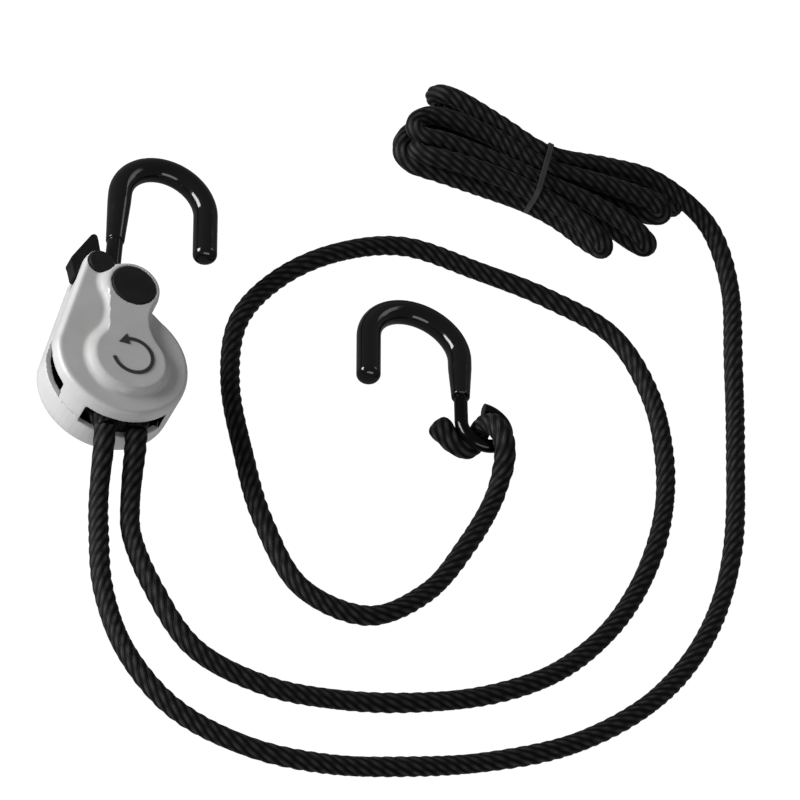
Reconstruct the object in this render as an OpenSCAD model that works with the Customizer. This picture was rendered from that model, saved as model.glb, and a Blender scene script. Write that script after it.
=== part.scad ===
// Ratcheting rope pulley block with a coated hook, one braided rope through it,
// a second hook on the load end and a tied hank on the pull end.
// It lies on its rear face: z = 0 is the surface, the sheave axle is the Z axis,
// and the block's hook points along +Y. Millimetres.

/* [Block] */
// Thickness of the block over both bosses
block_t = 28; // [26:0.5:34]
// Radius of the round lower part of the shells
flange_r = 24.2; // [22.8:0.1:29]
// Thickness of the shells' walls
shell_wall = 2.4; // [2:0.1:2.8]
// Height of the raised boss above the flange face
boss_rise = 2.6; // [1.8:0.1:3]
// Width of the rounded edge of the flange
edge_w = 1.8; // [0.8:0.1:2.2]
// Height of the rounded edge of the flange
edge_h = 3.6; // [1.5:0.1:4]
// Radius of the top of the lower boss
lower_boss_r = 12.8; // [10:0.1:14]
// Radius of the top of the upper boss
upper_boss_r = 9.4; // [8.6:0.1:10]
// Width of the sloped skirt on the boss's left side
boss_skirt = 3.5; // [1:0.1:3.8]
// Radius of the hollow waist between the two bosses
waist_r = 17; // [12:0.5:24]
// Sideways shift of the lower boss from the sheave axle
boss_shift = 2.4; // [0:0.1:3]

/* [Hook axle] */
// Distance from the sheave axle up to the hook axle
hook_axle_y = 31.8; // [30:0.2:38]
// Sideways place of the hook axle
hook_axle_x = 0.8; // [0:0.1:2]
// Radius of the hook axle
hook_axle_r = 2.5; // [1.8:0.05:3]
// Radius of the large round cap over the hook axle
big_cap_r = 8; // [6:0.1:8.2]

/* [Sheave] */
// Radius of the sheave axle
sheave_axle_r = 3; // [2.4:0.1:3.4]
// Radius of the rope's centreline round the sheave
wrap_r = 11; // [10.5:0.1:11.5]
// Outside radius of the sheave cheeks
cheek_r = 15; // [14:0.1:15.4]
// Radius over the ratchet teeth
ratchet_r = 13.5; // [12.5:0.1:13.7]
// Depth of the ratchet teeth
tooth_depth = 1.7; // [1.2:0.1:2]

/* [Release lever] */
// Radius of the lever's pivot pin
lever_pin_r = 1.5; // [1.2:0.1:1.6]
// Radius of the lever's hub
lever_hub_r = 2.9; // [2.8:0.1:3.2]
// Radius of the small round cap over the pivot pin
small_cap_r = 4.6; // [4:0.1:4.8]
// Thickness of the thumb tab
tab_t = 5.4; // [4:0.2:7]
// Thickness of the pawl arm
pawl_t = 3; // [2:0.1:3.1]

/* [Hooks] */
// Diameter of the hook wire
wire_d = 4.8; // [4:0.1:5.2]
// Diameter of the vinyl coating at the hook's arch
coat_d = 8.6; // [7:0.1:9]
// Diameter of the coating where it ends on the stem
coat_end_d = 6.4; // [5.8:0.1:7]
// Inside bend of the block's hook, to the wire's centreline
hook_bend_r = 15.9; // [13:0.1:19]
// Height of the hook's bend centre above its axle
hook_rise = 49; // [44:0.2:60]
// Inside bend of the load hook, to the wire's centreline
load_bend_r = 17.2; // [14:0.1:19]
// Height of the load hook's bend centre above its eye
load_rise = 29.4; // [26:0.2:36]
// Turn of the load hook on the surface
load_turn = 2; // [0:0.5:4]
// Radius of the load hook's eye, to the wire's centreline
load_eye_r = 8.5; // [8.3:0.1:9]

/* [Rope] */
// Diameter of the braided rope
rope_d = 6.8; // [6:0.1:7]
// Height of the hank of spare rope
hank_h = 14; // [12:0.5:18]

/* [Hidden] */

$fn = 64;
run_gap = 0.05;        // radial clearance of a shaft in its bush
free_gap = 0.35;       // clearance between parts that pass each other
part_z = block_t / 2;  // plane where the two shells meet
face_z = block_t - boss_rise;          // front flange face
inner_hi = face_z - shell_wall;        // ceiling of the cavity
inner_lo = boss_rise + shell_wall;     // floor of the cavity
rope_z = part_z + 2;                   // plane of the rope and the sheave groove
slot_lo = rope_z - rope_d / 2 - 0.6;   // rear edge of the rope slot
slot_hi = rope_z + rope_d / 2 + 1.3;   // front edge of the slot and of the windows
tab_z = slot_hi - 0.3 - tab_t;         // rear face of the thumb tab
top_lo = rope_z - wire_d / 2 - 1.6;    // rear edge of the opening for hook and lever
main_c = [0.4, 1.8];                   // centre of the flange's round lower part

hook_axle = [hook_axle_x, hook_axle_y];
lever_pivot = [-11, hook_axle_y + 8];
hook_boss_r = upper_boss_r + 0.8;      // flange round the hook axle
lever_end_r = lever_hub_r + free_gap + shell_wall;   // flange round the lever pivot
lever_foot = main_c + [lever_end_r - flange_r, 0];   // where the lever's channel joins the flange
right_end = 58;                        // angle where the flange's right side leaves its circle
right_turn = -36;                      // angle where it meets the hook axle's flange
boss_c = [boss_shift, 0.2];
cap_t = 1.9;
cap_proud = 0.3;
small_cap_proud = 0.8;
cap_chamfer = 0.5;
seat_r = small_cap_r + 0.5;

pull_exit = [-0.8, -22];               // where the two rope legs leave the block
load_exit = [10.4, -20.4];
teeth = 12;
tooth_lean = 2;                        // angle over which a tooth's steep face leans
tooth_phase = 152;                     // angle of the tooth that the pawl holds
pawl_z = inner_lo + 1;
ratchet_top = pawl_z + pawl_t + 0.4;   // top of the ratchet wheel, under the rear cheek
ratchet_low = inner_lo + 1.2;
cheek_out = 6.4;                       // half width of the sheave over its cheeks
groove_foot = 2.8;                     // half width of the groove at its foot
groove_rim = 5.2;                      // half width of the groove at the rim
groove_r = wrap_r - rope_d / 2 - 0.4;
bush_r = sheave_axle_r + 1;
rivet_r = 0.8;
rivet_c = (bush_r + groove_r) / 2;
post_r = 2.3;
screw_r = 1.1;
screw_head_r = 2.2;
post_ring = (cheek_r + flange_r - shell_wall) / 2 - 0.5;
posts = [[post_ring * cos(215), post_ring * sin(215)],
         [post_ring * cos(20), post_ring * sin(20)],
         [3, (cheek_r + hook_axle_y - 7.3) / 2]];

wire_r = wire_d / 2;
coat_r = coat_d / 2;
hook_eye_r = hook_axle_r + run_gap + wire_r;   // eye bend to the wire's centreline
hook_tip_l = 18.3;                     // straight length of the tip
load_tip_l = 20;
coat_start = 27;                       // where the coating starts above the hook axle
load_coat_start = 11.5;                // where it starts above the load hook's eye
load_eye = [138.3, 31.5, 8.9];         // centre of the load hook's eye
load_tilt = 5.8;                       // the hook leans on its arch
eye_open = 90;                         // angle where the eye's wire ends

// The rope's route: the two legs leave the block and come down to the surface.
floor_z = 3.5;
pull_route = [[-0.8, -22, 16], [0.3, -28, 13.2], [1.6, -36, 8.4], [3, -46, 4.6], [4.6, -58, floor_z],
              [8, -80, floor_z], [18, -103, floor_z], [37, -121, floor_z], [64, -128, floor_z],
              [92, -126, floor_z], [120, -118, floor_z], [148, -107, floor_z], [181, -88, floor_z],
              [210, -59, floor_z], [228, -25, floor_z], [236, 12, floor_z], [236, 60, floor_z],
              [234, 100, floor_z], [232, 132, floor_z], [226, 153, 3.8], [218, 162, 5.5],
              [208, 167.5, 7.2]];
pull_rings = 34;
load_route = [[10.4, -20.4, 16], [11.4, -26, 13.4], [12.8, -34, 8.4], [14.2, -44, 4.8], [16, -54, floor_z],
              [25, -73, floor_z], [42, -94, floor_z], [68, -101, floor_z], [96, -98, floor_z],
              [123, -90, floor_z], [149, -78, floor_z], [172, -61, floor_z], [190, -38, floor_z],
              [202, -12, floor_z], [209, 18, floor_z], [209, 46, floor_z], [202, 74, floor_z],
              [187, 95, floor_z], [162, 103, floor_z], [134, 106, floor_z], [106, 107, floor_z],
              [81, 95, floor_z], [60, 75, floor_z], [47, 51, floor_z], [46, 23, floor_z],
              [53, -6, floor_z], [62, -32, floor_z], [78, -56, floor_z], [102, -60, floor_z],
              [123, -43, floor_z], [137, -17, floor_z], [145, 4, 3.7]];
load_rings = 48;
knot_r = 2.9;
knot_route = [[145, 4, 3.7], [146.4, 12, 6], [145.8, 17.4, 11.2], [144.2, 21.4, 15], [142, 26, 15.6],
              [139.6, 30.4, 13.4], [137.8, 31.6, 8.6], [137, 28.4, 4.2], [134.6, 24.2, 3],
              [130.4, 24.6, 3], [126.4, 27.6, 3.2]];
knot_rings = 22;
tail_end = [121.6, 31.6, 3.8];

hank_c = [154, 154];
left_bights = [[-40, 24], [-50, 7.5], [-51.5, -7.5]];
right_bights = [[28, -22.5], [45.5, -17], [48, -7.5], [55.5, 3.5], [54, 13.5]];
waist_top = [2, 13.5];                 // where the tie pinches the hank
waist_low = [-2.5, -13];
tie_w = 1.8;
tie_t = 0.8;

colour_shell = [0.78, 0.78, 0.77];
colour_black = [0.03, 0.03, 0.03];
colour_vinyl = [0.02, 0.02, 0.02];
colour_steel = [0.55, 0.56, 0.58];
colour_rope = [0.04, 0.04, 0.04];
colour_brass = [0.7, 0.55, 0.25];
colour_tie = [0.2, 0.2, 0.2];

// Unit vector at an angle.
function dir(a) = [cos(a), sin(a)];
// Angle of the outward normal of the line that touches two circles on the right (side -1) or left (+1).
function touch_angle(c1, r1, c2, r2, side) =
    atan2(c2[1] - c1[1], c2[0] - c1[0]) + side * (90 - asin((r1 - r2) / norm(c2 - c1)));

// Point on the smooth curve through a list of points, t counted in spans.
function clamp_i(i, n) = max(0, min(n - 1, i));
function curve_point(p, t) =
    let (n = len(p), i = min(floor(t), n - 2), u = t - i,
         a = p[clamp_i(i - 1, n)], b = p[i], c = p[i + 1], d = p[clamp_i(i + 2, n)])
    0.5 * (2 * b + (c - a) * u + (2 * a - 5 * b + 4 * c - d) * u * u
           + (3 * b - a - 3 * c + d) * u * u * u);
function smooth_path(p, rings) =
    [for (k = [0 : rings]) curve_point(p, (len(p) - 1) * k / rings)];
function unit(v) = v / norm(v);
function tangent_at(p, i) = unit(p[min(i + 1, len(p) - 1)] - p[max(i - 1, 0)]);
function side_at(p, i) = unit(cross(tangent_at(p, i), [0.03, 0.05, 1]));

// A tube of one radius swept along a path.
module swept_tube(path, r, sides) {
    n = len(path);
    rings = [for (i = [0 : n - 1])
             let (t = tangent_at(path, i), s = side_at(path, i), u = cross(s, t))
             for (k = [0 : sides - 1])
                 path[i] + r * (cos(360 * k / sides) * s + sin(360 * k / sides) * u)];
    walls = [for (i = [0 : n - 2]) for (k = [0 : sides - 1])
             let (a = i * sides + k, b = i * sides + (k + 1) % sides)
             each [[a, b, b + sides], [a, b + sides, a + sides]]];
    ends = [[for (k = [sides - 1 : -1 : 0]) k], [for (k = [0 : sides - 1]) (n - 1) * sides + k]];
    polyhedron(points = rings, faces = concat(walls, ends));
}

// Points along an arc, the last one left out.
function arc(c, r, a0, a1, n) = [for (k = [0 : n - 1]) c + r * dir(a0 + (a1 - a0) * k / n)];
// The point where two circles cross, on the right of the line from c1 to c2.
function crossing(c1, r1, c2, r2) =
    let (d = norm(c2 - c1), u = (c2 - c1) / d, a = (r1 * r1 - r2 * r2 + d * d) / (2 * d))
    c1 + a * u + sqrt(r1 * r1 - a * a) * [u[1], -u[0]];
function angle_of(v) = atan2(v[1], v[0]);

// Outline of the shells, moved in by a distance: the round lower part, the hollow corner on the right,
// the round end over the hook axle, the notch, and the lever's arm with its straight left flank.
function outline(inset) =
    let (main_r = flange_r - inset, hook_r = hook_boss_r - inset, lever_r = lever_end_r - inset,
         left = touch_angle(lever_foot, lever_end_r, lever_pivot, lever_end_r, 1),
         corner = hook_axle + hook_boss_r * dir(right_turn),
         corner_in = unit(unit(hook_axle - corner) + unit(main_c - corner)),
         notch = crossing(hook_axle, hook_boss_r, lever_pivot, lever_end_r),
         hook_side = angle_of(notch - hook_axle) - 5,
         lever_side = angle_of(notch - lever_pivot) + 8,
         inward = unit(unit(hook_axle - notch) + unit(lever_pivot - notch)))
    concat(arc(main_c, main_r, 180, 360 + right_end, 42), [main_c + main_r * dir(right_end)],
           [corner + 1.15 * inset * corner_in],
           arc(hook_axle, hook_r, right_turn + 6, hook_side, 16), [hook_axle + hook_r * dir(hook_side)],
           [notch + inset * inward],
           arc(lever_pivot, lever_r, lever_side, left, 14), [lever_pivot + lever_r * dir(left)],
           [lever_foot + lever_r * dir(left)]);

// The solid of one half, from the parting plane to the flange face, with its rounded edge.
module half_body() {
    steps = 5;
    levels = concat([[part_z, 0]],
                    [for (k = [0 : steps])
                     let (a = 90 * k / steps)
                     [face_z - edge_h * (1 - sin(a)), edge_w * (1 - cos(a))]]);
    stacked([for (l = levels) [for (q = outline(l[1])) [q[0], q[1], l[0]]]]);
}

// A solid through a stack of closed rings that have the same number of points.
module stacked(rings) {
    n = len(rings[0]);
    m = len(rings);
    walls = [for (i = [0 : m - 2]) for (k = [0 : n - 1])
             let (a = i * n + k, b = i * n + (k + 1) % n)
             each [[a, b + n, b], [a, a + n, b + n]]];
    ends = [[for (k = [0 : n - 1]) k], [for (k = [n - 1 : -1 : 0]) (m - 1) * n + k]];
    polyhedron(points = [for (r = rings) each r], faces = concat(walls, ends));
}

// Centre of the hollow arc at the boss's waist, on the right (side 1) or left (side -1).
function waist_centre(side) =
    let (a = lower_boss_r + waist_r, b = upper_boss_r + waist_r, d = norm(hook_axle - boss_c),
         u = (hook_axle - boss_c) / d, t = (a * a - b * b + d * d) / (2 * d))
    boss_c + t * u + side * sqrt(a * a - t * t) * [u[1], -u[0]];
// Points of an arc, each with its outward normal; face is -1 where the arc is hollow.
function rim_arc(c, r, a0, a1, n, face) =
    [for (k = [0 : n - 1]) let (d = dir(a0 + (a1 - a0) * k / n)) [c + r * d, face * d]];
// Rim of the boss's flat top: round the lower disc, the waist and the upper disc.
function boss_rim() =
    let (r = waist_centre(1), l = waist_centre(-1))
    concat(rim_arc(boss_c, lower_boss_r, angle_of(l - boss_c), 360 + angle_of(r - boss_c), 44, 1),
           rim_arc(r, waist_r, 360 + angle_of(boss_c - r), angle_of(hook_axle - r), 10, -1),
           rim_arc(hook_axle, upper_boss_r, angle_of(r - hook_axle), 360 + angle_of(l - hook_axle), 32, 1),
           rim_arc(l, waist_r, angle_of(hook_axle - l), angle_of(boss_c - l), 10, -1));
function smooth_step(x) = let (t = max(0, min(1, x))) t * t * (3 - 2 * t);
// Share of the full skirt at a rim point: wide on the left, narrow on the right and round the hook axle.
function skirt_share(p, n) =
    let (high = smooth_step((p[1] - 6) / 16), least = 0.45 - 0.27 * high)
    least + (1 - least) * smooth_step((0.3 - 0.5 * high - n[0]) / 0.9);

// Raised boss with its sloped skirt, from below the flange's rounded edge to the block's face.
module boss() {
    rim = boss_rim();
    levels = [[face_z - edge_h, 1, 0], [face_z, 1, 0], [face_z + 0.2 * boss_rise, 0.74, 0],
              [face_z + 0.6 * boss_rise, 0.4, 0], [block_t - 0.3, 0.1, 0], [block_t - 0.07, 0, 0.12],
              [block_t, 0, 0.45]];
    stacked([for (l = levels) [for (q = rim)
             let (p = q[0] + (boss_skirt * l[1] * skirt_share(q[0], q[1]) - l[2]) * q[1]) [p[0], p[1], l[0]]]]);
}

// Room inside one half of the block, from the parting plane up to the ceiling.
module half_cavity() {
    translate([0, 0, part_z - 1]) linear_extrude(inner_hi - part_z + 1) polygon(outline(shell_wall));
}

// Opening at the top through which the hook and the thumb tab come out.
module top_opening(z0, z1) {
    low = hook_axle_y + 1.2;
    translate([-40, low, z0]) cube([80, 40, z1 - z0]);
}

// Slot at the bottom through which both legs of the rope leave.
module rope_slot(z0, z1) {
    left = pull_exit[0] - rope_d - 1.9;
    right = load_exit[0] + rope_d + 1.8;
    translate([left, -flange_r - 5, z0]) cube([right - left, flange_r - 5, z1 - z0]);
}

// Crescent window in the front shell's left wall.
module side_window() {
    translate([-flange_r + 8, 0, 0]) rotate([90, 0, -90])
        linear_extrude(14)
            polygon([[-11, part_z - 0.5], [-3, slot_hi - 1.8], [0.5, slot_hi],
                     [13.2, slot_hi], [13.9, part_z - 0.5]]);
}

// One half of the housing, standing on the parting plane.
module shell_half() {
    difference() {
        union() {
            half_body();
            boss();
            translate([lever_pivot[0], lever_pivot[1], inner_hi - 1])
                cylinder(h = face_z - inner_hi + 1, r = seat_r);
        }
        half_cavity();
        // blind seats of the sheave axle, the hook axle and the lever pin
        translate([0, 0, inner_hi - 1]) cylinder(h = 1 + shell_wall + 1, r = sheave_axle_r);
        translate([hook_axle[0], hook_axle[1], inner_hi - 1])
            cylinder(h = block_t - cap_t - inner_hi + 1.5, r = hook_axle_r);
        translate([lever_pivot[0], lever_pivot[1], inner_hi - 1])
            cylinder(h = face_z - inner_hi + 0.5, r = lever_pin_r);
        // recesses of the caps
        translate([hook_axle[0], hook_axle[1], block_t - cap_t])
            cylinder(h = cap_t + 1, r = big_cap_r + 0.1);
        translate([lever_pivot[0], lever_pivot[1], face_z - 1])
            cylinder(h = 3, r = small_cap_r + 0.1);
    }
}

module screw_posts(z0, z1, hole_r) {
    for (p = posts)
        translate([p[0], p[1], z0])
            difference() {
                cylinder(h = z1 - z0, r = post_r);
                translate([0, 0, -1]) cylinder(h = z1 - z0 + 2, r = hole_r);
            }
}

module front_shell() {
    color(colour_shell) {
        difference() {
            shell_half();
            top_opening(part_z - 1, slot_hi);
            rope_slot(part_z - 1, slot_hi);
            side_window();
        }
        screw_posts(part_z, inner_hi, screw_r);
    }
}

module rear_shell() {
    color(colour_shell) {
        difference() {
            translate([0, 0, block_t]) mirror([0, 0, 1]) shell_half();
            top_opening(top_lo, part_z + 1);
            rope_slot(slot_lo, part_z + 1);
            for (p = posts) {
                translate([p[0], p[1], -1]) cylinder(h = inner_lo, r = screw_head_r + 0.3);
                translate([p[0], p[1], -1]) cylinder(h = inner_lo + 2, r = screw_r + 0.15);
            }
        }
        screw_posts(inner_lo, part_z, screw_r + 0.15);
    }
}

module sheave_axle() {
    end = inner_lo - shell_wall - 1;
    color(colour_steel) translate([0, 0, end]) cylinder(h = block_t - 2 * end, r = sheave_axle_r);
}

module hook_axle_pin() {
    end = cap_t + 0.1;
    color(colour_steel) translate([hook_axle[0], hook_axle[1], end])
        cylinder(h = block_t - 2 * end, r = hook_axle_r);
}

module lever_pin() {
    end = boss_rise + 1.1;
    color(colour_steel) translate([lever_pivot[0], lever_pivot[1], end])
        cylinder(h = block_t - 2 * end, r = lever_pin_r);
}

// Round cap with a chamfered rim, its top at height z.
module round_cap(c, z, r, t) {
    translate([c[0], c[1], z - t])
        rotate_extrude()
            polygon([[0, 0], [r, 0], [r, t - cap_chamfer * 0.7], [r - cap_chamfer, t], [0, t]]);
}

module front_hook_cap() {
    color(colour_black) round_cap(hook_axle, block_t + cap_proud, big_cap_r, cap_t + cap_proud);
}

module rear_hook_cap() {
    color(colour_black) translate([0, 0, block_t]) mirror([0, 0, 1])
        round_cap(hook_axle, block_t - 0.2, big_cap_r, cap_t - 0.2);
}

module front_lever_cap() {
    color(colour_black)
        round_cap(lever_pivot, face_z + small_cap_proud, small_cap_r, 1 + small_cap_proud);
}

module rear_lever_cap() {
    color(colour_black) translate([0, 0, block_t]) mirror([0, 0, 1])
        round_cap(lever_pivot, face_z + small_cap_proud, small_cap_r, 1 + small_cap_proud);
}

// Wedge between the two legs of the rope, from shell to shell.
module rope_divider() {
    color(colour_black) translate([0, 0, inner_lo]) linear_extrude(inner_hi - inner_lo)
        polygon([[3.4, -cheek_r - 4.4], [6.4, -cheek_r - 4.4], [6.4, -cheek_r - 1.2], [0.9, -cheek_r - 1.2]]);
}

module shell_screws() {
    head_t = 1.4;
    head_z = inner_lo - 0.7 - head_t;
    color(colour_steel) for (p = posts)
        translate([p[0], p[1], head_z]) {
            difference() {
                cylinder(h = head_t, r = screw_head_r);
                translate([0, 0, -0.1]) for (a = [0, 90])
                    rotate([0, 0, a]) translate([-1.3, -0.3, 0]) cube([2.6, 0.6, 0.8]);
            }
            translate([0, 0, head_t - 0.01]) cylinder(h = inner_hi - 4 - head_z - head_t, r = screw_r);
        }
}

module washer(z0, t) {
    translate([0, 0, z0]) difference() {
        cylinder(h = t, r = bush_r + 2);
        translate([0, 0, -1]) cylinder(h = t + 2, r = sheave_axle_r);
    }
}

module thrust_washers() {
    color(colour_brass) {
        washer(inner_lo, ratchet_low - inner_lo - 0.1);
        washer(rope_z + cheek_out + 0.1, inner_hi - rope_z - cheek_out - 0.1);
    }
}

// Curved arrow that shows which way the sheave runs free.
module turn_mark() {
    ring_r = 7;
    line_w = 1.3;
    mark_t = 0.25;
    start = 200;
    sweep = 270;
    tip = start + sweep;
    color(colour_black) translate([boss_c[0] + 0.6, boss_c[1] + 1, block_t]) {
        rotate([0, 0, start]) rotate_extrude(angle = sweep)
            translate([ring_r - line_w / 2, 0]) square([line_w, mark_t]);
        linear_extrude(mark_t)
            polygon([(ring_r - 2.2) * dir(tip - 1), (ring_r + 2.2) * dir(tip - 1), ring_r * dir(tip + 32)]);
    }
}

// The stretch of rope inside the block: up one side, over the sheave and down the other.
module rope_wrap() {
    pull_len = norm(pull_exit);
    load_len = norm(load_exit);
    pull_angle = atan2(pull_exit[1], pull_exit[0]) + 360 - acos(wrap_r / pull_len);
    load_angle = atan2(load_exit[1], load_exit[0]) + acos(wrap_r / load_len);
    rope_r = rope_d / 2;
    color(colour_rope) translate([0, 0, rope_z]) {
        rotate([0, 0, load_angle]) rotate_extrude(angle = pull_angle - load_angle)
            translate([wrap_r, 0]) circle(r = rope_r);
        translate(wrap_r * dir(pull_angle)) rotate([0, 0, pull_angle]) rotate([-90, 0, 0])
            cylinder(h = sqrt(pull_len * pull_len - wrap_r * wrap_r), r = rope_r);
        translate(wrap_r * dir(load_angle)) rotate([0, 0, load_angle]) rotate([90, 0, 0])
            cylinder(h = sqrt(load_len * load_len - wrap_r * wrap_r), r = rope_r);
    }
}

// Half of the sheave on one side of the groove's middle plane.
module cheek() {
    difference() {
        rotate_extrude()
            polygon([[bush_r, 0], [groove_r, 0], [groove_r, groove_foot], [cheek_r, groove_rim],
                     [cheek_r, cheek_out], [bush_r, cheek_out]]);
        for (k = [0 : 2])
            rotate([0, 0, 120 * k]) translate([rivet_c, 0, -1]) cylinder(h = cheek_out + 2, r = rivet_r);
    }
}

module sheave_front_cheek() {
    color(colour_black) translate([0, 0, rope_z]) cheek();
}

module sheave_rear_cheek() {
    color(colour_black) translate([0, 0, rope_z]) mirror([0, 0, 1]) cheek();
}

module ratchet_wheel() {
    pitch = 360 / teeth;
    color(colour_steel) translate([0, 0, ratchet_low])
        linear_extrude(ratchet_top - ratchet_low)
            difference() {
                polygon([for (k = [0 : teeth - 1])
                         let (a = tooth_phase + pitch * k)
                         each [(ratchet_r - tooth_depth) * dir(a - tooth_lean), ratchet_r * dir(a)]]);
                circle(r = bush_r);
                for (k = [0 : 2])
                    rotate(120 * k) translate([rivet_c, 0]) circle(r = rivet_r);
            }
    // boss that carries the wheel up to the rear cheek
    color(colour_steel) translate([0, 0, ratchet_top])
        linear_extrude(rope_z - cheek_out - ratchet_top)
            difference() {
                circle(r = groove_r);
                circle(r = bush_r);
                for (k = [0 : 2])
                    rotate(120 * k) translate([rivet_c, 0]) circle(r = rivet_r);
            }
}

module sheave_bush() {
    color(colour_brass) translate([0, 0, ratchet_low]) difference() {
        cylinder(h = rope_z + cheek_out - ratchet_low, r = bush_r);
        translate([0, 0, -1])
            cylinder(h = rope_z + cheek_out - ratchet_low + 2, r = sheave_axle_r + run_gap);
    }
}

module sheave_rivets() {
    color(colour_steel) for (k = [0 : 2])
        rotate([0, 0, 120 * k]) translate([rivet_c, 0, ratchet_low])
            cylinder(h = rope_z + cheek_out - ratchet_low, r = rivet_r);
}

module release_lever() {
    outline = [[-4.2, -1], [0, -3], [3.2, -1], [3.2, 1.5], [0.5, 10], [-0.3, 13.4], [-0.8, 15.1], [-1.4, 15.8],
               [-2.2, 15.9], [-3.2, 15], [-9.1, 3.4], [-9.5, 2.4], [-9.4, 1.4], [-8.95, 0.6], [-7.6, -4],
               [-6.9, -4.7], [-5.9, -4.2]];
    color(colour_black) difference() {
        union() {
            translate([lever_pivot[0], lever_pivot[1], tab_z]) linear_extrude(tab_t) polygon(outline);
            translate([lever_pivot[0], lever_pivot[1], pawl_z + pawl_t])
                cylinder(h = inner_hi - 0.3 - pawl_z - pawl_t, r = lever_pin_r + 0.8);
        }
        translate([lever_pivot[0], lever_pivot[1], inner_lo])
            cylinder(h = inner_hi - inner_lo, r = lever_pin_r + run_gap);
    }
}

// Steel arm on the lever's hub; its square end holds the ratchet tooth.
module pawl_arm() {
    nose = ratchet_r * dir(tooth_phase);
    left = lever_pivot[0] - 2.9;
    right = lever_pivot[0] + 0.8;
    color(colour_steel) translate([0, 0, pawl_z]) linear_extrude(pawl_t)
        difference() {
            union() {
                translate(lever_pivot) circle(r = lever_hub_r);
                polygon([[left, lever_pivot[1]], [left, nose[1] + 1.2], [nose[0], nose[1] + 0.6],
                         [nose[0] + 1.5, nose[1] + 0.4], [right, nose[1] + 5], [right, lever_pivot[1]]]);
            }
            translate(lever_pivot) circle(r = lever_pin_r + run_gap);
        }
}

// Torsion spring round the hub that presses the pawl to the ratchet.
module lever_spring() {
    spring_wire = 0.35;
    coil_r = lever_pin_r + 0.8 + 0.1 + spring_wire;
    z0 = tab_z + tab_t + spring_wire;
    turns = 2;
    steps = 16;
    rise = 0.75;
    coil = [for (k = [0 : turns * steps])
            let (a = 200 - 360 * k / steps)
            [lever_pivot[0] + coil_r * cos(a), lever_pivot[1] + coil_r * sin(a), z0 + rise * k / steps]];
    color(colour_steel) swept_tube(coil, spring_wire, 6);
}

module at_hook_eye() {
    translate([hook_axle[0], hook_axle[1], rope_z]) children();
}

// Bent round bar of a hook: stem, arch and tip, the stem's foot at the origin.
// It bends to the right; rise is the height of the arch's centre.
module hook_bar(rise, bend, tip_l, r) {
    rotate([-90, 0, 0]) cylinder(h = rise, r = r);
    translate([bend, rise, 0]) {
        rotate_extrude(angle = 180) translate([bend, 0]) circle(r = r);
        translate([bend, 0, 0]) rotate([90, 0, 0]) cylinder(h = tip_l, r = r);
    }
}

// Vinyl coating of a hook: a taper up the stem, then an even skin to a rounded tip.
module hook_skin(start, rise, bend, tip_l) {
    dome = 1.4;
    difference() {
        union() {
            translate([0, start, 0]) rotate([-90, 0, 0])
                cylinder(h = rise - start, r1 = coat_end_d / 2, r2 = coat_r);
            translate([bend, rise, 0]) {
                rotate_extrude(angle = 180) translate([bend, 0]) circle(r = coat_r);
                translate([bend, 0, 0]) rotate([90, 0, 0]) {
                    cylinder(h = tip_l, r1 = coat_r, r2 = coat_r - 0.2);
                    translate([0, 0, tip_l])
                        cylinder(h = dome * 0.6, r1 = coat_r - 0.2, r2 = coat_r - 0.7);
                    translate([0, 0, tip_l + dome * 0.6])
                        cylinder(h = dome * 0.4, r1 = coat_r - 0.7, r2 = coat_r - 1.7);
                }
            }
        }
        hook_bar(rise, bend, tip_l, wire_r);
    }
}

module hook_wire() {
    color(colour_steel) at_hook_eye() {
        rotate([0, 0, 180]) rotate_extrude(angle = 262) translate([hook_eye_r, 0]) circle(r = wire_r);
        translate([-hook_eye_r, 0, 0]) hook_bar(hook_rise, hook_bend_r, hook_tip_l, wire_r);
    }
}

module hook_coating() {
    color(colour_vinyl) at_hook_eye() translate([-hook_eye_r, 0, 0])
        hook_skin(coat_start, hook_rise, hook_bend_r, hook_tip_l);
}

// Plain sleeves that keep the hook's eye in the middle of its axle.
module hook_spacers() {
    color(colour_black) translate([hook_axle[0], hook_axle[1], 0]) difference() {
        union() {
            translate([0, 0, inner_lo]) cylinder(h = rope_z - wire_r - 0.3 - inner_lo, r = 4.2);
            translate([0, 0, rope_z + wire_r + 0.3])
                cylinder(h = inner_hi - rope_z - wire_r - 0.3, r = 4.2);
        }
        cylinder(h = block_t, r = hook_axle_r);
    }
}

module pull_rope() {
    color(colour_rope) swept_tube(smooth_path(pull_route, pull_rings), rope_d / 2, 10);
}

module load_rope() {
    color(colour_rope) swept_tube(smooth_path(load_route, load_rings), rope_d / 2, 10);
}

// Outer shape of the tied hank of spare rope.
module rope_hank() {
    bight_r = rope_d / 2 + 0.4;
    left = left_bights;
    right = right_bights;
    color(colour_rope) translate([hank_c[0], hank_c[1], 0]) linear_extrude(hank_h) {
        for (p = concat(left, right)) translate(p) circle(r = bight_r);
        polygon([left[0] + [0.5, bight_r], left[0] - [bight_r, 0], left[1] - [bight_r, 0],
                 left[2] - [bight_r, 0], left[2] - [0, bight_r], waist_low,
                 right[0] - [0.5, bight_r], right[0] + [bight_r, 0], right[1] + [bight_r, 0],
                 right[2] + [bight_r, 0], right[3] + [bight_r, 0], right[4] + [bight_r, 0],
                 right[4] + [0, bight_r], waist_top]);
    }
}

// Thin tie round the waist of the hank.
module hank_tie() {
    middle = hank_c + (waist_top + waist_low) / 2;
    across = waist_top - waist_low;
    half = norm(across) / 2 + 0.5;
    color(colour_tie) translate([middle[0], middle[1], 0]) rotate([0, 0, atan2(across[1], across[0]) - 90])
        translate([-tie_w / 2, 0, 0]) rotate([90, 0, 90]) linear_extrude(tie_w)
            difference() {
                tie_outline(half, hank_h + tie_t, 4);
                translate([0, tie_t]) tie_outline(half - tie_t, hank_h - tie_t, 4 - tie_t);
            }
}

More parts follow.
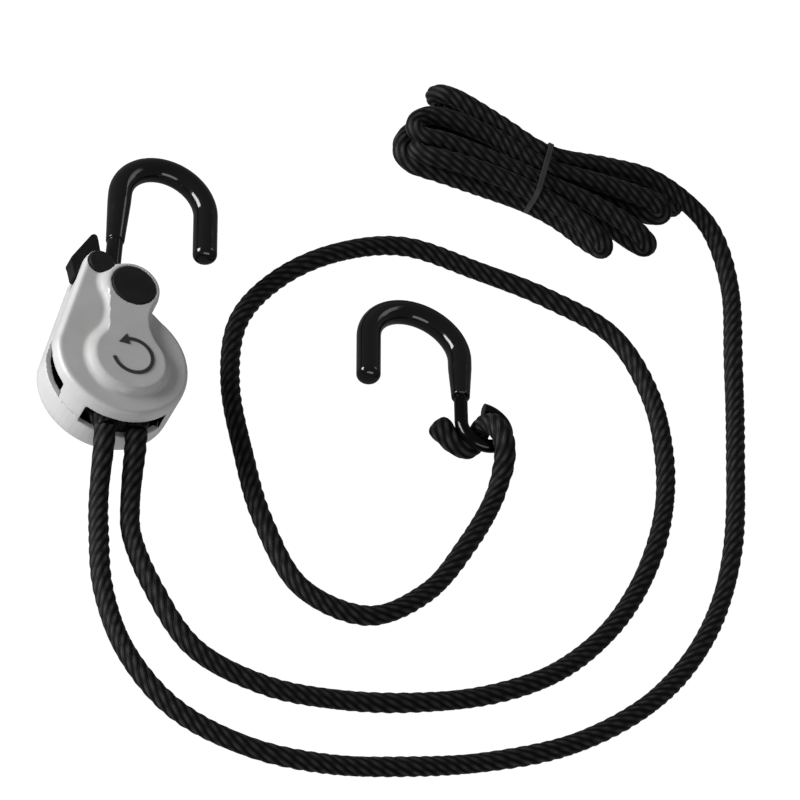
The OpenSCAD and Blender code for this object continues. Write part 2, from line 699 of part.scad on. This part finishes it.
module tie_outline(half, h, r) {
    translate([-half + r, 0]) square([2 * (half - r), h]);
    translate([-half, r]) square([2 * half, h - 2 * r]);
    for (x = [-half + r, half - r]) for (y = [r, h - r]) translate([x, y]) circle(r = r);
}

module rope_knot() {
    color(colour_rope) swept_tube(smooth_path(knot_route, knot_rings), knot_r, 10);
}

// Heat-sealed end of the rope behind the knot.
module knot_end() {
    color(colour_rope)
        swept_tube([knot_route[len(knot_route) - 1], tail_end], knot_r + 0.1, 12);
}

module at_load_eye() {
    translate(load_eye) rotate([-load_tilt, 0, load_turn]) children();
}

// The load hook is the block hook's mirror image: its stem is on the right.
module load_stem() {
    translate([-load_eye_r, 0, 0]) mirror([1, 0, 0]) children();
}

module load_hook_wire() {
    color(colour_steel) at_load_eye() {
        rotate([0, 0, -180]) rotate_extrude(angle = 180 + eye_open)
            translate([load_eye_r, 0]) circle(r = wire_r);
        load_stem() hook_bar(load_rise, load_bend_r, load_tip_l, wire_r);
    }
}

module load_hook_coating() {
    color(colour_vinyl) at_load_eye() load_stem()
        hook_skin(load_coat_start, load_rise, load_bend_r, load_tip_l);
}

rear_shell();
front_shell();
sheave_axle();
hook_axle_pin();  // hook_axle
lever_pin();
front_hook_cap();
rear_hook_cap();
front_lever_cap();
rear_lever_cap();
rope_divider();
shell_screws();
thrust_washers();
turn_mark();
rope_wrap();
sheave_front_cheek();
sheave_rear_cheek();
ratchet_wheel();
sheave_bush();
sheave_rivets();
release_lever();
pawl_arm();
lever_spring();
hook_wire();
hook_coating();
hook_spacers();
pull_rope();
rope_hank();
hank_tie();
load_rope();
rope_knot();
knot_end();
load_hook_wire();
load_hook_coating();
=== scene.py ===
import math
import bpy
import numpy as np
from mathutils import Matrix, Vector
from mathutils.bvhtree import BVHTree


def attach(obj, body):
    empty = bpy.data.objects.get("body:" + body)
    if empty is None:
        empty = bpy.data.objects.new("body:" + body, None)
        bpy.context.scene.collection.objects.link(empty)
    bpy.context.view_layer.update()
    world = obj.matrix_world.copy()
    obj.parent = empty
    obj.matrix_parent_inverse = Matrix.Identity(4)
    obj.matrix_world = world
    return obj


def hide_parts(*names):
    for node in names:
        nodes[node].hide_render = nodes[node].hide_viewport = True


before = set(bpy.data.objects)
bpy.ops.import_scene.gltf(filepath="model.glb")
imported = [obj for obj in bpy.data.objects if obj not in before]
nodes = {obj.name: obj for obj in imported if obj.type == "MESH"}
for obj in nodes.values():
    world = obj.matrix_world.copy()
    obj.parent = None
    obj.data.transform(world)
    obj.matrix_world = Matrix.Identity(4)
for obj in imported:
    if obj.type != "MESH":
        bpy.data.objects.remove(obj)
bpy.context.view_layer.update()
scene = bpy.context.scene
MM = 0.001

# ---------------------------------------------------------------- camera
AZ, EL, ROLL = (math.radians(a) for a in (-22.0, 47.0, 33.0))
back = Vector((math.sin(AZ) * math.cos(EL), -math.cos(AZ) * math.cos(EL), math.sin(EL)))
level = Vector((math.cos(AZ), math.sin(AZ), 0.0))
upright = back.cross(level)
right = math.cos(ROLL) * level + math.sin(ROLL) * upright
up = math.cos(ROLL) * upright - math.sin(ROLL) * level
target = Vector((0.10973, 0.0404, 0.0))
DISTANCE = 2.5
camera = bpy.data.objects.new("camera", bpy.data.cameras.new("camera"))
scene.collection.objects.link(camera)
axes = Matrix((right, up, back)).transposed().to_4x4()
camera.matrix_world = Matrix.Translation(target + DISTANCE * back) @ axes
camera.data.sensor_width = 36.0
camera.data.lens = 321.4
camera.data.clip_end = 50.0
scene.camera = camera


# ---------------------------------------------------------------- materials
class Nodes:
    """A material's node tree, with short calls for the nodes used here."""

    def __init__(self, name, color, rough, metal=0.0, **sockets):
        self.mat = bpy.data.materials.new(name)
        self.mat.use_nodes = True
        self.tree = self.mat.node_tree
        self.bsdf = self.tree.nodes["Principled BSDF"]
        self.bsdf.inputs["Base Color"].default_value = (*color, 1.0)
        self.bsdf.inputs["Roughness"].default_value = rough
        self.bsdf.inputs["Metallic"].default_value = metal
        for key, value in sockets.items():
            self.bsdf.inputs[key.replace("_", " ")].default_value = value
        self.coords = self.tree.nodes.new("ShaderNodeTexCoord").outputs["Object"]

    def node(self, kind, **inputs):
        n = self.tree.nodes.new(kind)
        for key, value in inputs.items():
            by_number = key[0] == "i" and key[1:].isdigit()
            socket = n.inputs[int(key[1:]) if by_number else key.replace("_", " ")]
            if isinstance(value, bpy.types.NodeSocket):
                self.tree.links.new(value, socket)
            else:
                socket.default_value = value
        return n

    def noise(self, scale, detail=3.0, vector=None, rough=0.5):
        return self.node("ShaderNodeTexNoise", Vector=vector or self.coords, Scale=scale, Detail=detail,
                         Roughness=rough).outputs["Fac"]

    def attribute(self, name, output="Fac"):
        n = self.tree.nodes.new("ShaderNodeAttribute")
        n.attribute_name = name
        return n.outputs[output]

    def math(self, kind, a, b=0.0, c=0.0):
        n = self.node("ShaderNodeMath", i0=a, i1=b, i2=c)
        n.operation = kind
        return n.outputs[0]

    def remap(self, value, a, b, c, d):
        return self.node("ShaderNodeMapRange", Value=value, From_Min=a, From_Max=b,
                         To_Min=c, To_Max=d).outputs[0]

    def blend(self, fac, a, b):
        n = self.tree.nodes.new("ShaderNodeMix")
        n.data_type = "RGBA"
        n.clamp_factor = True
        for socket, value in ((n.inputs[0], fac), (n.inputs[6], a), (n.inputs[7], b)):
            if isinstance(value, bpy.types.NodeSocket):
                self.tree.links.new(value, socket)
            else:
                socket.default_value = (*value, 1.0) if isinstance(value, tuple) else value
        return n.outputs[2]

    def color(self, value):
        self.tree.links.new(value, self.bsdf.inputs["Base Color"])

    def rough(self, value):
        self.tree.links.new(value, self.bsdf.inputs["Roughness"])

    def bump(self, height, distance, strength=1.0, normal=None):
        extra = {"Normal": normal} if normal is not None else {}
        n = self.node("ShaderNodeBump", Height=height, Distance=distance, Strength=strength, **extra)
        self.tree.links.new(n.outputs[0], self.bsdf.inputs["Normal"])
        return n.outputs[0]


def paint_material():
    """Satin silver-grey paint over a die casting: fine grain, faint orange peel, slightly cloudy."""
    m = Nodes("silver_paint", (0.42, 0.42, 0.417), 0.42, Coat_Weight=0.12, Coat_Roughness=0.25)
    grain = m.noise(2600.0, 2.0)
    cloud = m.noise(90.0, 3.0)
    tone = m.blend(m.remap(cloud, 0.35, 0.65, 0.0, 1.0), (0.40, 0.40, 0.397), (0.44, 0.44, 0.438))
    m.color(m.blend(m.remap(grain, 0.4, 0.75, 0.0, 0.35), tone, (0.48, 0.48, 0.48)))
    m.rough(m.remap(m.noise(400.0, 2.0), 0.3, 0.7, 0.36, 0.48))
    peel = m.bump(m.noise(700.0, 2.0), 0.00002, 0.35)
    m.bump(grain, 0.000012, 0.35, peel)
    return m.mat


def plastic_material(name, color, rough, grain=1800.0, depth=0.00002, **sockets):
    """Moulded plastic with a fine spark-eroded grain and a little wear in its gloss."""
    m = Nodes(name, color, rough, **sockets)
    light = tuple(min(1.0, c * 1.35 + 0.002) for c in color)
    m.color(m.blend(m.remap(m.noise(120.0, 4.0), 0.35, 0.7, 0.0, 1.0), color, light))
    m.rough(m.remap(m.noise(500.0, 3.0), 0.3, 0.7, max(0.03, rough - 0.06), rough + 0.07))
    m.bump(m.noise(grain, 2.0), depth, 0.4)
    return m.mat


def metal_material(name, color, rough, brushed=1500.0):
    """Metal with fine drawn scratches and uneven gloss."""
    m = Nodes(name, color, rough, 1.0)
    stretch = m.node("ShaderNodeMapping", Vector=m.coords, Scale=(1.0, 1.0, 0.12)).outputs[0]
    lines = m.noise(brushed, 3.0, stretch)
    m.color(m.blend(m.remap(lines, 0.3, 0.7, 0.0, 1.0), tuple(c * 0.85 for c in color), color))
    m.rough(m.remap(lines, 0.3, 0.7, rough * 0.75, rough * 1.3))
    m.bump(lines, 0.00001, 0.25)
    return m.mat


def vinyl_material():
    """Dipped vinyl: deep black and wet-looking, with the faint waves a dip leaves."""
    m = Nodes("dipped_vinyl", (0.004, 0.004, 0.0043), 0.1, Specular_IOR_Level=0.35,
              Coat_Weight=0.3, Coat_Roughness=0.05)
    m.rough(m.remap(m.noise(260.0, 3.0), 0.35, 0.7, 0.07, 0.17))
    wave = m.bump(m.noise(110.0, 2.0), 0.00012, 0.3)
    m.bump(m.noise(1400.0, 2.0), 0.000008, 0.3, wave)
    return m.mat


YARNS_TURN = 25.13  # four yarns to a strand


def rope_material():
    """Black braid with painted highlight on strand crests, painted shade in grooves, and yarns along each
    strand.
    """
    m = Nodes("black_braid", (0.01, 0.01, 0.0105), 0.7, Specular_IOR_Level=0.12,
              Sheen_Weight=0.03, Sheen_Roughness=0.4)
    relief = m.attribute("relief")
    yarn = m.math("SINE", m.math("MULTIPLY", m.attribute("strand"), YARNS_TURN))
    fleck = m.noise(900.0, 3.0)
    # Painted light and shade: the relief makes the crests lighter (painted highlight) and the grooves darker
    # (painted shade); yarns and random flecks break up the highlight.
    lit = m.math("MULTIPLY", m.remap(relief, 0.5, 0.95, 0.0, 1.0), m.remap(fleck, 0.25, 0.7, 0.6, 1.0))
    lit = m.math("MULTIPLY", lit, m.remap(yarn, -1.0, 1.0, 0.72, 1.0))
    m.color(m.blend(lit, (0.0004, 0.0004, 0.0004), (0.036, 0.036, 0.0365)))
    m.rough(m.remap(fleck, 0.3, 0.7, 0.52, 0.75))
    first = m.bump(yarn, 0.00006, 0.5)
    m.bump(m.noise(2400.0, 2.0), 0.00003, 0.5, first)
    return m.mat


PAINT = paint_material()
CAP = plastic_material("black_cap", (0.007, 0.007, 0.0075), 0.42, Specular_IOR_Level=0.25)
LEVER = plastic_material("black_lever", (0.005, 0.005, 0.0054), 0.34, Specular_IOR_Level=0.3)
# Black moulded parts; the castings' inside faces get this black too, as painted shade.
BLACK_AND_PAINTED_SHADE = plastic_material("black_moulding_and_painted_shade", (0.004, 0.004, 0.004), 0.6, Specular_IOR_Level=0.15)
MARK = plastic_material("dark_print", (0.018, 0.018, 0.018), 0.5, 2500.0, 0.00001)
TIE = plastic_material("grey_tie", (0.03, 0.03, 0.031), 0.5, 2200.0, Specular_IOR_Level=0.2)
STEEL = metal_material("turned_steel", (0.56, 0.57, 0.58), 0.3)
WIRE = metal_material("black_plated_wire", (0.03, 0.03, 0.032), 0.16, 900.0)
BRASS = metal_material("bush_brass", (0.72, 0.54, 0.25), 0.35)
VINYL = vinyl_material()
ROPE = rope_material()

LOOKS = {
    PAINT: ("rear_shell", "front_shell"),
    CAP: ("front_hook_cap", "rear_hook_cap", "front_lever_cap", "rear_lever_cap"),
    BLACK_AND_PAINTED_SHADE: ("rope_divider", "hook_spacers", "sheave_front_cheek", "sheave_rear_cheek"),
    MARK: ("turn_mark",),
    BRASS: ("thrust_washers", "sheave_bush"),
    LEVER: ("release_lever",),
    WIRE: ("hook_wire", "load_hook_wire"),
    VINYL: ("hook_coating", "load_hook_coating"),
    TIE: ("hank_tie",),
    ROPE: ("rope_wrap", "pull_rope", "load_rope", "rope_hank", "rope_knot", "knot_end"),
}
look_of = {name: material for material, names in LOOKS.items() for name in names}
for name, obj in nodes.items():
    obj.data.materials.clear()
    obj.data.materials.append(look_of.get(name, STEEL))


# ---------------------------------------------------------------- curves
def spline(points, step):
    """Even points along the smooth curve through the given points."""
    p = np.array(points, float)
    p = np.vstack([2 * p[0] - p[1], p, 2 * p[-1] - p[-2]])
    out = []
    for i in range(1, len(p) - 2):
        a, b, c, d = p[i - 1], p[i], p[i + 1], p[i + 2]
        k = max(0.05, np.linalg.norm(c - b))
        ka, kc = max(0.05, np.linalg.norm(b - a)), max(0.05, np.linalg.norm(d - c))
        ta, tb, tc = math.sqrt(ka), math.sqrt(k), math.sqrt(kc)
        m0 = tb * ((b - a) / ta - (c - a) / (ta + tb) + (c - b) / tb)
        m1 = tb * ((c - b) / tb - (d - b) / (tb + tc) + (d - c) / tc)
        for u in np.linspace(0, 1, 24, endpoint=False):
            out.append((2 * u**3 - 3 * u**2 + 1) * b + (u**3 - 2 * u**2 + u) * m0
                       + (3 * u**2 - 2 * u**3) * c + (u**3 - u**2) * m1)
    out.append(p[-2])
    return even(np.array(out), step)


def travelled(curve):
    """How far along the curve each of its points is."""
    return np.concatenate([[0], np.cumsum(np.linalg.norm(np.diff(curve, axis=0), axis=1))])


def even(curve, step):
    """The curve again, with points about step apart."""
    s = travelled(curve)
    n = max(2, int(round(s[-1] / step)) + 1)
    t = np.linspace(0, s[-1], n)
    return np.stack([np.interp(t, s, curve[:, k]) for k in range(3)], axis=1)


def soften(curve, rounds):
    """The curve with its bends eased and its ends kept."""
    c = curve.copy()
    for _ in range(rounds):
        c[1:-1] = 0.5 * c[1:-1] + 0.25 * (c[:-2] + c[2:])
    return c


def length_of(curve):
    return float(np.linalg.norm(np.diff(curve, axis=0), axis=1).sum())


FIRST_SIDE = np.array((0.03, 0.05, 1.0))  # off the axes, so that no curve here starts along it


def frames_along(curve):
    """Two directions across the curve at each point, which turn with it and not round it."""
    t = np.gradient(curve, axis=0)
    t /= np.linalg.norm(t, axis=1)[:, None]
    n = np.zeros_like(curve)
    v = np.cross(t[0], FIRST_SIDE)
    n[0] = v / np.linalg.norm(v)
    for i in range(1, len(curve)):
        v = n[i - 1] - t[i] * np.dot(n[i - 1], t[i])
        n[i] = v / np.linalg.norm(v)
    return n, np.cross(t, n)


def tube(name, curve, radii, sides, material):
    """A closed tube along a curve, in millimetres, with a radius for each point or each corner of each ring."""
    n, b = frames_along(curve)
    ang = np.linspace(0, 2 * math.pi, sides, endpoint=False)
    ring = np.cos(ang)[None, :, None] * n[:, None, :] + np.sin(ang)[None, :, None] * b[:, None, :]
    radii = np.array(radii).reshape(len(curve), -1)
    verts = (curve[:, None, :] + radii[:, :, None] * ring).reshape(-1, 3) * MM
    start = np.arange(len(curve) - 1)[:, None] * sides
    one = start + np.arange(sides)[None, :]
    two = start + (np.arange(sides)[None, :] + 1) % sides
    faces = np.stack([one, one + sides, two + sides, two], axis=-1).reshape(-1, 4).tolist()
    faces.append(list(range(sides)))
    faces.append(list(range((len(curve) - 1) * sides, len(curve) * sides))[::-1])
    mesh = bpy.data.meshes.new(name)
    mesh.from_pydata([tuple(v) for v in verts], [], faces)
    mesh.validate()
    mesh.materials.append(material)
    mesh.polygons.foreach_set("use_smooth", [True] * len(mesh.polygons))
    mesh.update()
    obj = bpy.data.objects.new(name, mesh)
    scene.collection.objects.link(obj)
    return obj


ROPE_R = 3.4
CARRIERS = 8  # strands that run each way round
PITCH = 4.4  # how far along the rope one strand gives way to the next
ROPE_SIDES = 40


def braid(name, curve, squeeze, turn, taper=0.0):
    """A braided rope along a curve, in millimetres: one family of strands lies over the other.

    squeeze gives its width along it, turn sets the braid's start, and taper is the length of its rounded end.
    """
    s = travelled(curve)
    ang = np.linspace(0, 2 * math.pi, ROPE_SIDES, endpoint=False)
    wobble = 0.25 * np.sin(s / 19.0 + 1.3 * turn) + 0.18 * np.sin(s / 7.3 + turn)
    around = CARRIERS * ang[None, :] / (2 * math.pi)
    along = (s / PITCH + wobble + turn)[:, None]
    one, two = around - along, around + 0.82 * along
    cross = np.sin(math.pi * one) * np.sin(math.pi * two)
    first = np.abs(np.sin(math.pi * one)) ** 0.7 * (1 + 0.22 * cross)
    second = np.abs(np.sin(math.pi * two)) ** 0.6 * (1 - 0.3 * cross) - 0.62
    relief = np.clip(np.maximum(first, second), 0, 1.2) / 1.2
    r = ROPE_R * (0.875 + 0.17 * relief)
    r *= 1 + 0.012 * np.sin(s / 11.0 + 2 * turn)[:, None]
    r *= squeeze(s)[:, None]
    if taper:
        x = np.clip((s[-1] - s) / taper, 0, 1)
        r *= np.sqrt(np.clip(1 - (1 - x) ** 2, 0.02, 1))[:, None]
    obj = tube(name, curve, r, ROPE_SIDES, ROPE)
    # relief shapes the rope and also paints its colour: painted highlight on the crests, painted shade in the
    # grooves.
    for key, values in (("relief", relief), ("strand", one % CARRIERS)):
        a = obj.data.attributes.new(key, "FLOAT", "POINT")
        a.data.foreach_set("value", np.ascontiguousarray(values, np.float32).ravel())
    return obj


# ---------------------------------------------------------------- hook coatings
COAT_STEP = 0.2
COAT_SIDES = 40


def coated(name, node, body, place, side, foot, start, rise, bend, tip, flare, sleeve=None):
    """The dipped skin of a hook: a lip, a taper up the stem, the arch, and a rounded tip that leans outward.

    The stem stands foot from the eye's centre, and side is 1 for a hook that bends to the right and -1 for
    its mirror image. A thinner sleeve may reach down to the height sleeve.
    """
    arc = np.radians(np.linspace(180, flare, 90))
    low = start if sleeve is None else sleeve
    stem = [(0.0, y) for y in np.arange(low, rise, COAT_STEP)]
    arch = [(bend + bend * math.cos(a), rise + bend * math.sin(a)) for a in arc]
    lean = (math.sin(arc[-1]), -math.cos(arc[-1]))
    leg = [(arch[-1][0] + d * lean[0], arch[-1][1] + d * lean[1])
           for d in np.arange(COAT_STEP, tip + 1.45, COAT_STEP)]
    flat = np.array(stem + arch + leg)
    curve = even(np.column_stack([flat, np.zeros(len(flat))]), COAT_STEP)
    s = travelled(curve)
    up = s + low
    r = np.interp(up, [start, rise - 4, rise + 0.6 * bend], [3.25, 4.15, 4.3])
    lip = np.clip((up - start) / 0.5, 0, 1)
    r = np.where(up < start + 0.5, r - 0.45 * (1 - np.sqrt(1 - (1 - lip) ** 2)), r)
    if sleeve is not None:
        r = np.where(up < start - 0.35, 2.85, np.where(up < start, 2.6, r))
    left = np.clip((s[-1] - s) / 3.0, 0, 1)
    r = r * (1 - (1 - left) ** 2.2) ** (1 / 2.2) * 0.97 + 0.03 * r
    curve[:, 0] = side * (curve[:, 0] + foot)
    piece = tube(name, curve, r, COAT_SIDES, VINYL)
    piece.data.transform(place)
    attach(piece, body)
    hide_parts(node)
    return piece


at_axle = Matrix.Translation(Vector((0.8, 31.8, 16)) * MM)
at_eye = (Matrix.Translation(Vector((138.3, 31.5, 8.9)) * MM) @ Matrix.Rotation(math.radians(2), 4, "Z")
          @ Matrix.Rotation(math.radians(-5.8), 4, "X"))
coated("hook_skin", "hook_coating", "hook", at_axle, side=1, foot=-4.95,
       start=27, rise=49, bend=15.9, tip=18.3, flare=3.5, sleeve=10)
load_skin = coated("load_hook_skin", "load_hook_coating", "load_hook", at_eye, side=-1, foot=8.5,
                   start=11.5, rise=29.4, bend=17.2, tip=20, flare=1.0)


# ---------------------------------------------------------------- the rope
PULL = [(-0.8, -22, 16), (0.3, -28, 13.2), (1.6, -36, 8.4), (3, -46, 4.6), (4.6, -58, 3.5),
        (8, -80, 3.5), (18, -103, 3.5), (37, -121, 3.5), (64, -128, 3.5), (92, -126, 3.5),
        (120, -118, 3.5), (148, -107, 3.5), (181, -88, 3.5), (210, -59, 3.5), (228, -25, 3.5),
        (236, 12, 3.5), (236, 60, 3.5), (234, 100, 3.5), (232, 132, 3.5), (226, 153, 3.8),
        (219, 161, 5.6)]
LOAD = [(10.4, -20.4, 16), (11.4, -26, 13.4), (12.8, -34, 8.4), (14.2, -44, 4.8), (16, -54, 3.5),
        (25, -73, 3.5), (42, -94, 3.5), (68, -101, 3.5), (96, -98, 3.5), (123, -90, 3.5),
        (149, -78, 3.5), (172, -61, 3.5), (190, -38, 3.5), (202, -12, 3.5), (209, 18, 3.5),
        (209, 46, 3.5), (202, 74, 3.5), (187, 95, 3.5), (162, 103, 3.5), (134, 106, 3.5),
        (106, 107, 3.5), (81, 95, 3.5), (60, 75, 3.5), (47, 51, 3.5), (46, 23, 3.5),
        (53, -6, 3.5), (62, -32, 3.5), (78, -56, 3.5), (102, -60, 3.5), (123, -43, 3.5),
        (137, -17, 3.5), (145, 4, 3.7)]
KNOT = [(145, 4, 3.7), (146.4, 12, 6), (145.8, 17.4, 11.2), (144.2, 21.4, 15), (142, 26, 15.6),
        (139.6, 30.4, 13.4), (137.8, 31.6, 8.6), (137, 28.4, 5), (134.6, 24.2, 4.3), (130.4, 24.6, 4.1),
        (126.4, 27.6, 4.1), (121.6, 31.6, 4.4)]
HANK_AT = 154  # the tie's place, both ways
# The hank's runs beside and on each other, from the tie's place: each goes from its left end through the
# pinch under the tie to its right end, or back, and short folds join them.
HANK_RUNS = [
    [(-36, 23.4, 10.6), (-18, 17.2, 10.6), (1.6, 10.2, 10.2), (25, 13, 10.4), (44, 14.4, 9.6)][::-1],
    [(-42, 24.8, 8.6), (-42.2, 25.4, 5.2)],
    [(-36, 25, 3.5), (-18, 19, 3.5), (0.4, 6, 3.5), (22, 3.4, 3.5), (42, 2.4, 3.7)],
    [(47.5, 0.6, 5.6), (49.8, 1.2, 7.6), (48, 2.8, 9.6)],
    [(-40, 12.6, 10.2), (-20, 10.4, 10.4), (0.4, 3.6, 10.3), (22, 4.2, 10.4), (42, 3.6, 10.4)][::-1],
    [(-46.8, 11, 9.4), (-50, 6, 8.6), (-47, 1.4, 9)],
    [(-40, 2, 9.8), (-20, -0.6, 10.3), (-0.8, -3.4, 10.3), (20, -6.6, 10.3), (37, -11.8, 9.6)],
    [(43.6, -14.6, 7.8), (45, -15.8, 5.2)],
    [(-40, 0.6, 3.5), (-20, 0.4, 3.5), (-0.6, -3.2, 3.5), (20, -4.2, 3.5), (38, -12.4, 3.6)][::-1],
    [(-46, -0.6, 4.4), (-48.6, -3.6, 6.6), (-45, -6.4, 8.4)],
    [(-38, -6.6, 9.8), (-20, -7, 10.2), (-2, -10, 10.2), (10, -13.4, 10), (22, -18.6, 9)],
    [(27.2, -21.4, 7.4), (28.4, -22.6, 4.9)],
    [(-40, -8, 3.5), (-22, -8.6, 3.5), (-2.4, -9.8, 3.5), (10, -13, 3.5), (22, -19.4, 3.6)][::-1],
    [(-47.6, -8, 3.5), (-51.6, -4.6, 3.5), (-51.4, 2, 3.5), (-47.4, 9, 3.5)],
    [(-38, 12, 3.5), (-20, 11.4, 3.5), (1.4, 11, 3.5), (24, 13.6, 3.5), (44, 13.8, 3.6)],
    [(51.4, 11.6, 3.8), (56, 6.4, 4.6)],
]
hank_points = [(HANK_AT + x, HANK_AT + y, z) for part in HANK_RUNS for x, y, z in part]

ROPE_STEP = 0.5
load_curve = spline(LOAD + KNOT[1:], ROPE_STEP)
pull_curve = even(soften(spline(PULL + hank_points, ROPE_STEP), 60), ROPE_STEP)

# Straight from the load exit to the sheave, round it, and straight to the pull exit.
WRAP_R = 11.0
load_x, load_y, wrap_z = LOAD[0]
pull_x, pull_y, _ = PULL[0]
pull_turn = (math.atan2(pull_y, pull_x) + 2 * math.pi - math.acos(WRAP_R / math.hypot(pull_x, pull_y)))
load_turn = math.atan2(load_y, load_x) + math.acos(WRAP_R / math.hypot(load_x, load_y))
wrap_arc = [(WRAP_R * math.cos(a), WRAP_R * math.sin(a), wrap_z)
            for a in np.linspace(load_turn, pull_turn, 120)]
wrap_curve = even(np.array([LOAD[0]] + wrap_arc + [PULL[0]], float), ROPE_STEP)


def leaving(s):
    """A leg is a little wider where it comes out of the slot."""
    return 1 + 0.11 * np.clip(1 - s / 20, 0, 1) ** 0.7


def both_ends(s):
    """The same width where the rope on the sheave runs on into its two legs."""
    return leaving(np.minimum(s, s[-1] - s))


def eased(x):
    x = np.clip(x, 0, 1)
    return x * x * (3 - 2 * x)


def knotted(s):
    """Fuller in the knot, and fuller again in its tail."""
    in_knot = (s - length_of(spline(LOAD, ROPE_STEP)) - 6) / 10
    in_tail = 1 - (s[-1] - s) / 16
    return leaving(s) * (1 + 0.1 * eased(in_knot)) * (1 + 0.16 * eased(in_tail))


load_rope = braid("load_leg", load_curve, knotted, turn=0.3, taper=2.2)
pull_rope = braid("pull_leg", pull_curve, leaving, turn=1.7, taper=2.5)
wrap_rope = braid("rope_on_sheave", wrap_curve, both_ends, turn=0.9)
for piece, covered in ((load_rope, ("load_rope", "rope_knot", "knot_end")),
                       (pull_rope, ("pull_rope", "rope_hank")), (wrap_rope, ("rope_wrap",))):
    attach(piece, "block")
    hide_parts(*covered)
print("load leg", round(length_of(load_curve)), "pull leg and hank", round(length_of(pull_curve)))

# ---------------------------------------------------------------- shells
CELL = 0.0004  # the remesh's voxel, in metres
RAYS = 5
# Faces that count as inside are painted black as shade.
DARK_RAYS = 4  # a face with this many rays stopped by a shell is inside
RAY_LENGTH = 0.07
RAY_SPREAD = 1.1  # how far the rays lean from the face's normal, as a slope


def cast_shell(name, node):
    """The die casting, with its edges rounded as a mould leaves them."""
    source = nodes[node]
    obj = bpy.data.objects.new(name, source.data.copy())
    obj.matrix_world = source.matrix_world
    scene.collection.objects.link(obj)
    grid = obj.modifiers.new("grid", "REMESH")
    grid.mode, grid.voxel_size = "VOXEL", CELL
    relax = obj.modifiers.new("relax", "SMOOTH")
    relax.factor, relax.iterations = 0.5, 2
    mesh = bpy.data.meshes.new_from_object(obj.evaluated_get(bpy.context.evaluated_depsgraph_get()))
    obj.modifiers.clear()
    obj.data = mesh
    mesh.materials.clear()
    mesh.materials.append(PAINT)
    # The second material is black, painted on the inside faces as shade.
    mesh.materials.append(BLACK_AND_PAINTED_SHADE)
    mesh.polygons.foreach_set("use_smooth", [True] * len(mesh.polygons))
    return obj


def is_inside(face, walls):
    """Whether most ways out from a face are closed by a shell: such a face is inside, and gets painted shade.
    """
    n = face.normal
    across = n.orthogonal().normalized()
    around = n.cross(across)
    origin = face.center + CELL * n
    met = 0
    for k in range(RAYS):
        a = 2 * math.pi * k / RAYS
        way = (n + RAY_SPREAD * (math.cos(a) * across + math.sin(a) * around)).normalized()
        met += any(w.ray_cast(origin, way, RAY_LENGTH)[0] is not None for w in walls)
    return met >= DARK_RAYS


castings = {"rear_shell": cast_shell("rear_casting", "rear_shell"),
            "front_shell": cast_shell("front_casting", "front_shell")}
walls = [BVHTree.FromPolygons([v.co for v in o.data.vertices], [tuple(f.vertices) for f in o.data.polygons])
         for o in castings.values()]
for node, obj in castings.items():
    # Inside faces get the black material: painted shade where the casting's inside lies in shadow.
    shade = np.array([is_inside(face, walls) for face in obj.data.polygons], np.int32)
    obj.data.polygons.foreach_set("material_index", shade)
    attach(obj, "block")
    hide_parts(node)

for name in (*LOOKS[CAP], *LOOKS[LEVER]):
    edge = nodes[name].modifiers.new("edge", "BEVEL")
    edge.width, edge.segments = 0.00025, 3
    edge.limit_method, edge.angle_limit = "ANGLE", math.radians(28)

# ---------------------------------------------------------------- floor and light
floor_mesh = bpy.data.meshes.new("floor")
FLOOR, FLOOR_Z = 6, -0.0002  # half its side, and just under the part
corners = [(x * FLOOR, y * FLOOR, FLOOR_Z) for x, y in ((-1, -1), (1, -1), (1, 1), (-1, 1))]
floor_mesh.from_pydata(corners, [], [(0, 1, 2, 3)])
floor = bpy.data.objects.new("floor", floor_mesh)
scene.collection.objects.link(floor)
white = Nodes("floor_white", (0.1, 0.1, 0.1), 0.9, Specular_IOR_Level=0.0, Emission_Color=(1, 1, 1, 1),
              Emission_Strength=1.0)
floor_mesh.materials.append(white.mat)
floor.visible_glossy = False  # the photograph's blacks don't mirror the white surface

world = bpy.data.worlds.new("studio")
world.use_nodes = True
background = world.node_tree.nodes["Background"]
background.inputs["Color"].default_value = (1, 1, 1, 1)
background.inputs["Strength"].default_value = 0.14
scene.world = world


def softbox(name, where, aim, width, height, power):
    """A rectangular light of that power in watts, which faces aim."""
    data = bpy.data.lights.new(name, "AREA")
    data.shape, data.size, data.size_y, data.energy = "RECTANGLE", width, height, power
    obj = bpy.data.objects.new(name, data)
    obj.location = where
    obj.rotation_euler = (Vector(aim) - Vector(where)).to_track_quat("-Z", "Y").to_euler()
    scene.collection.objects.link(obj)


softbox("key_left", (-1.7, 0.2, 0.45), (0, 0, 0), 1.4, 0.8, 56)
softbox("low_front", (0.3, -1.8, 0.9), (0.05, 0, 0), 1.6, 0.7, 12)
softbox("high_right", (1.6, 1.2, 1.6), (0.1, 0, 0), 1.0, 1.0, 5)
scene.view_settings.view_transform = "Standard"
